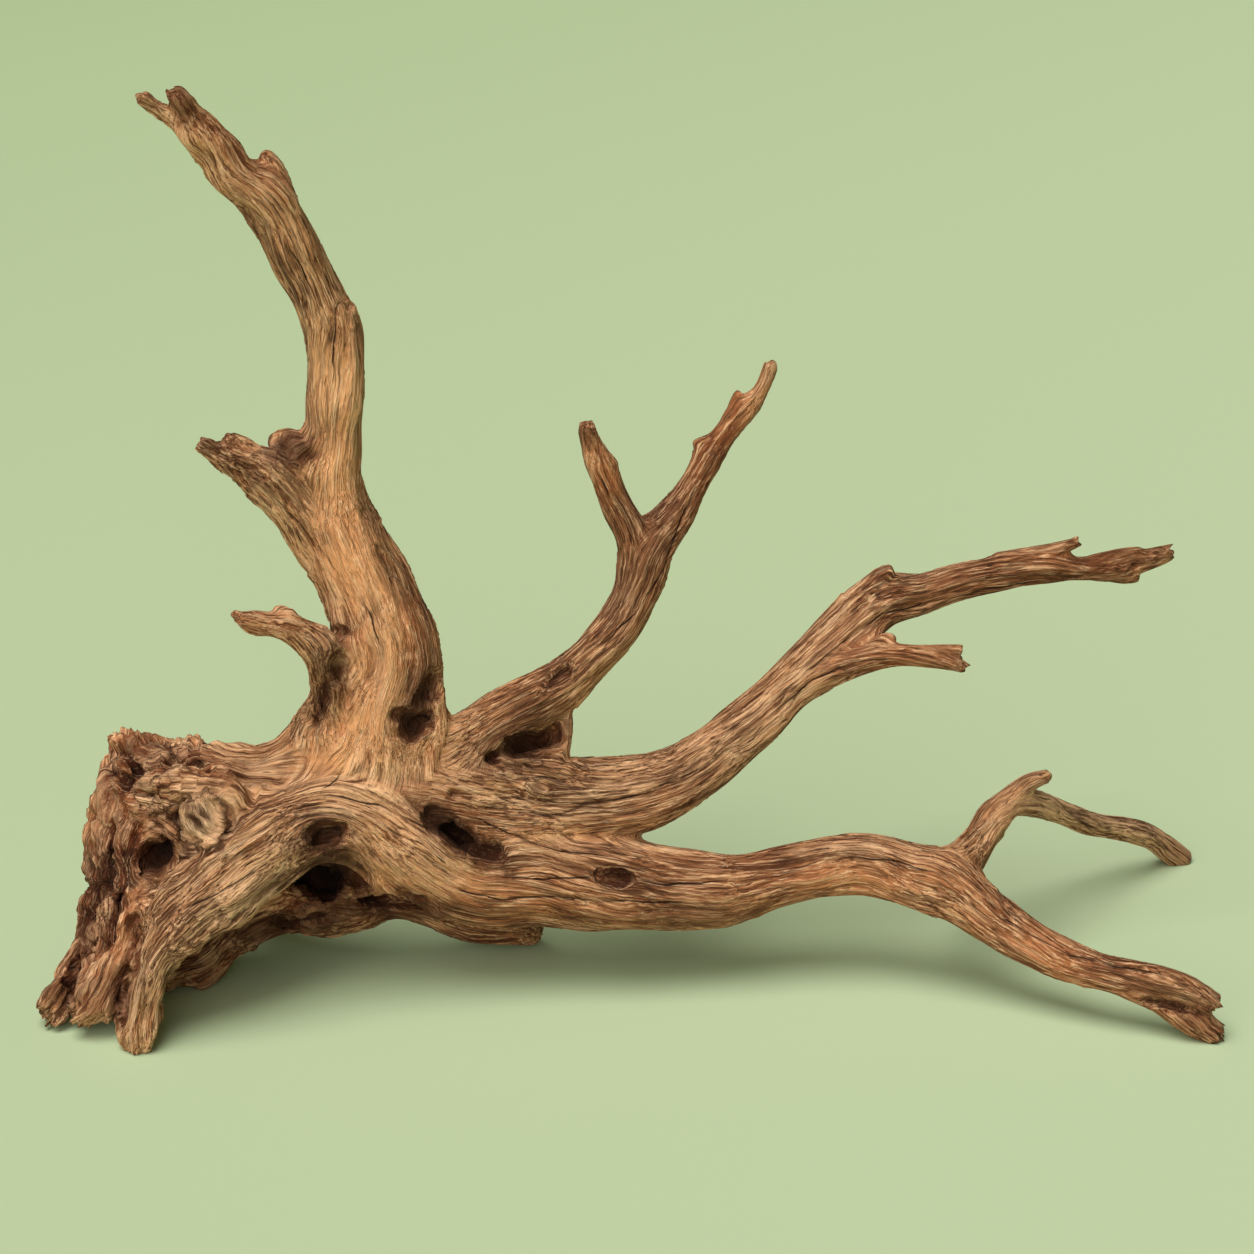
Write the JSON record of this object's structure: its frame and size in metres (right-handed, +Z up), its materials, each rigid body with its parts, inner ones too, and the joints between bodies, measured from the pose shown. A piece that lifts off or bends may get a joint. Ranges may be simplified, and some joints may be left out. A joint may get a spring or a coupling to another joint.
{
  "type": "branching driftwood",
  "caption": "Weathered driftwood: a hollowed root crown and trunk that stand on root feet, with tapering, knotted branches that rise and reach to one side.",
  "frame": {"origin": "centre of the bounding box on the ground, under the root feet", "axes": "+X from the root crown towards the branch tips, +Y away from the side first seen, +Z up"},
  "size_m": [0.6191, 0.2434, 0.4709],
  "materials": {
    "wood": "bare, dry, weathered and matt"
  },
  "bodies": {
    "root": {"driftwood": "wood"}
  },
  "joints": []
}
